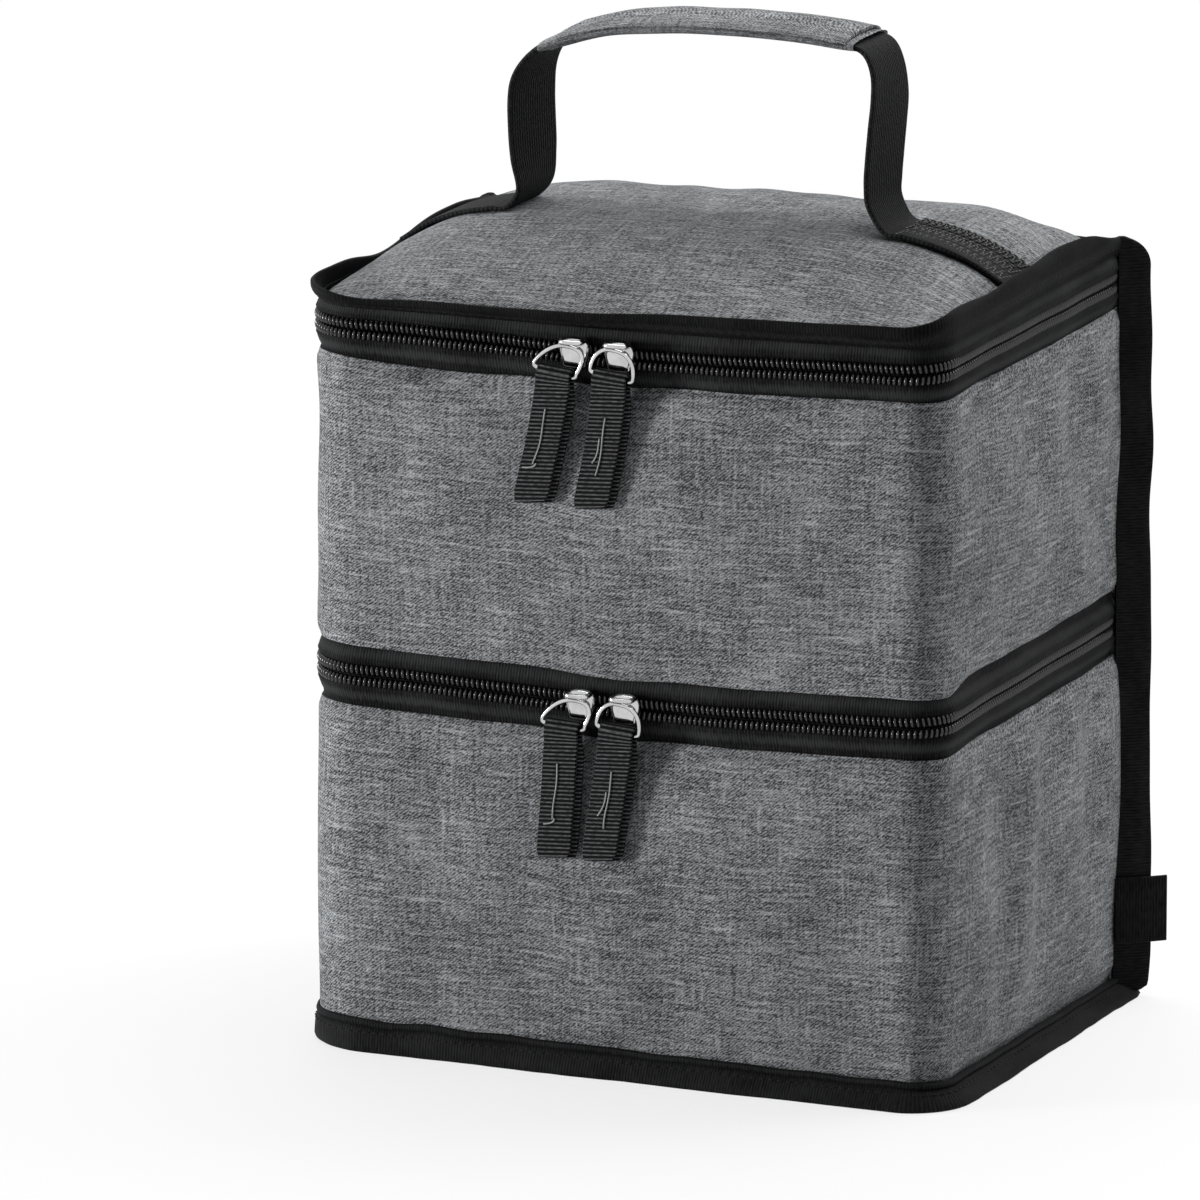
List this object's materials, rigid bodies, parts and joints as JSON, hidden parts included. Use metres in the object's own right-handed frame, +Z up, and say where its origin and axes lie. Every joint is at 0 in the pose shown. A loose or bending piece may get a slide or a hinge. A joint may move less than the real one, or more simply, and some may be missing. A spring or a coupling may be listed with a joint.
{
  "type": "cooler bag",
  "caption": "Soft insulated cooler bag with stacked zip compartments on a folding back panel, a domed lid with a net pocket, and a webbing handle with a grip sleeve.",
  "frame": {"origin": "middle of the base, on the surface that the bag stands on", "axes": "+Z up, -Y towards the front where the zip pulls hang, +X to the right seen from the front"},
  "size_m": [0.2302, 0.1688, 0.3153],
  "materials": {
    "grey_cloth": "heather grey plain-weave polyester",
    "black_tape": "black woven tape and webbing",
    "black_mesh": "black net",
    "white_foam": "closed-cell foam",
    "silver_foil": "aluminised film",
    "chrome": "bright nickel plate"
  },
  "bodies": {
    "lower_compartment": {"lower_outer_wall": "grey_cloth", "lower_foam_wall": "white_foam", "lower_foil_lining": "silver_foil", "base_outer_panel": "black_tape", "base_foam_board": "white_foam", "base_binding": "black_tape", "mid_zip_lower_tape": "black_tape", "mid_zip_lower_coil": "black_tape", "back_panel_lower": "grey_cloth", "back_foam_lower": "white_foam", "back_binding_left_lower": "black_tape", "back_binding_right_lower": "black_tape", "side_label": "black_tape"},
    "upper_compartment": {"upper_outer_wall": "grey_cloth", "upper_foam_wall": "white_foam", "upper_foil_lining": "silver_foil", "divider_outer_panel": "silver_foil", "divider_foam_board": "white_foam", "divider_binding": "black_tape", "mid_zip_upper_tape": "black_tape", "mid_zip_upper_coil": "black_tape", "top_zip_lower_tape": "black_tape", "top_zip_lower_coil": "black_tape", "back_panel_upper": "grey_cloth", "back_foam_upper": "white_foam", "back_binding_left_upper": "black_tape", "back_binding_right_upper": "black_tape"},
    "lid": {"lid_top_panel": "grey_cloth", "lid_foam": "white_foam", "lid_foil_lining": "silver_foil", "lid_zip_tape": "black_tape", "lid_zip_coil": "black_tape", "lid_binding": "black_tape", "lid_mesh_pocket": "black_mesh", "lid_pocket_trim": "black_tape", "back_panel_top": "grey_cloth", "back_binding_left_top": "black_tape", "back_binding_right_top": "black_tape", "handle_foot_left": "black_tape", "handle_foot_right": "black_tape"},
    "handle": {"handle_webbing": "black_tape", "handle_grip_sleeve": "grey_cloth"},
    "mid_left_slider": {"mid_slider_left": "chrome"},
    "mid_left_ring": {"mid_pull_ring_left": "chrome"},
    "mid_left_tab": {"mid_pull_tab_left": "black_tape"},
    "mid_right_slider": {"mid_slider_right": "chrome"},
    "mid_right_ring": {"mid_pull_ring_right": "chrome"},
    "mid_right_tab": {"mid_pull_tab_right": "black_tape"},
    "top_left_slider": {"top_slider_left": "chrome"},
    "top_left_ring": {"top_pull_ring_left": "chrome"},
    "top_left_tab": {"top_pull_tab_left": "black_tape"},
    "top_right_slider": {"top_slider_right": "chrome"},
    "top_right_ring": {"top_pull_ring_right": "chrome"},
    "top_right_tab": {"top_pull_tab_right": "black_tape"}
  },
  "joints": [
    {"name": "compartment_tilt", "type": "hinge", "parent": "lower_compartment", "child": "upper_compartment", "pos_m": [0, 0.079, 0.118], "axis": [-1, 0, 0], "range_deg": [0, 75]},
    {"name": "lid_open", "type": "hinge", "parent": "upper_compartment", "child": "lid", "pos_m": [0, 0.079, 0.2265], "axis": [-1, 0, 0], "range_deg": [0, 110]},
    {"name": "handle_swing", "type": "hinge", "parent": "lid", "child": "handle", "pos_m": [0, 0, 0.26717], "axis": [1, 0, 0], "range_deg": [-80, 80]},
    {"name": "mid_left_slider_slide", "type": "slide", "parent": "lower_compartment", "child": "mid_left_slider", "axis": [1, 0, 0], "range_m": [-0.064, 0]},
    {"name": "mid_left_ring_swing", "type": "hinge", "parent": "mid_left_slider", "child": "mid_left_ring", "pos_m": [-0.01335, -0.08525, 0.118], "axis": [-1, 0, 0], "range_deg": [0, 95]},
    {"name": "mid_left_tab_swing", "type": "hinge", "parent": "mid_left_ring", "child": "mid_left_tab", "pos_m": [-0.01425, -0.08525, 0.10945], "axis": [-0.9945, 0, 0.1045], "range_deg": [0, 85]},
    {"name": "mid_right_slider_slide", "type": "slide", "parent": "lower_compartment", "child": "mid_right_slider", "axis": [1, 0, 0], "range_m": [0, 0.072]},
    {"name": "mid_right_ring_swing", "type": "hinge", "parent": "mid_right_slider", "child": "mid_right_ring", "pos_m": [0.00475, -0.08525, 0.118], "axis": [-1, 0, 0], "range_deg": [0, 95]},
    {"name": "mid_right_tab_swing", "type": "hinge", "parent": "mid_right_ring", "child": "mid_right_tab", "pos_m": [0.00333, -0.08525, 0.10952], "axis": [-0.9863, 0, 0.165], "range_deg": [0, 85]},
    {"name": "top_left_slider_slide", "type": "slide", "parent": "upper_compartment", "child": "top_left_slider", "axis": [1, 0, 0], "range_m": [-0.062, 0]},
    {"name": "top_left_ring_swing", "type": "hinge", "parent": "top_left_slider", "child": "top_left_ring", "pos_m": [-0.01525, -0.08525, 0.2265], "axis": [-1, 0, 0], "range_deg": [0, 95]},
    {"name": "top_left_tab_swing", "type": "hinge", "parent": "top_left_ring", "child": "top_left_tab", "pos_m": [-0.01704, -0.08525, 0.21809], "axis": [-0.9781, 0, 0.2079], "range_deg": [0, 85]},
    {"name": "top_right_slider_slide", "type": "slide", "parent": "upper_compartment", "child": "top_right_slider", "axis": [1, 0, 0], "range_m": [0, 0.074]},
    {"name": "top_right_ring_swing", "type": "hinge", "parent": "top_right_slider", "child": "top_right_ring", "pos_m": [0.00285, -0.08525, 0.2265], "axis": [-1, 0, 0], "range_deg": [0, 95]},
    {"name": "top_right_tab_swing", "type": "hinge", "parent": "top_right_ring", "child": "top_right_tab", "pos_m": [0.00128, -0.08525, 0.21804], "axis": [-0.9833, 0, 0.1822], "range_deg": [0, 85]}
  ]
}
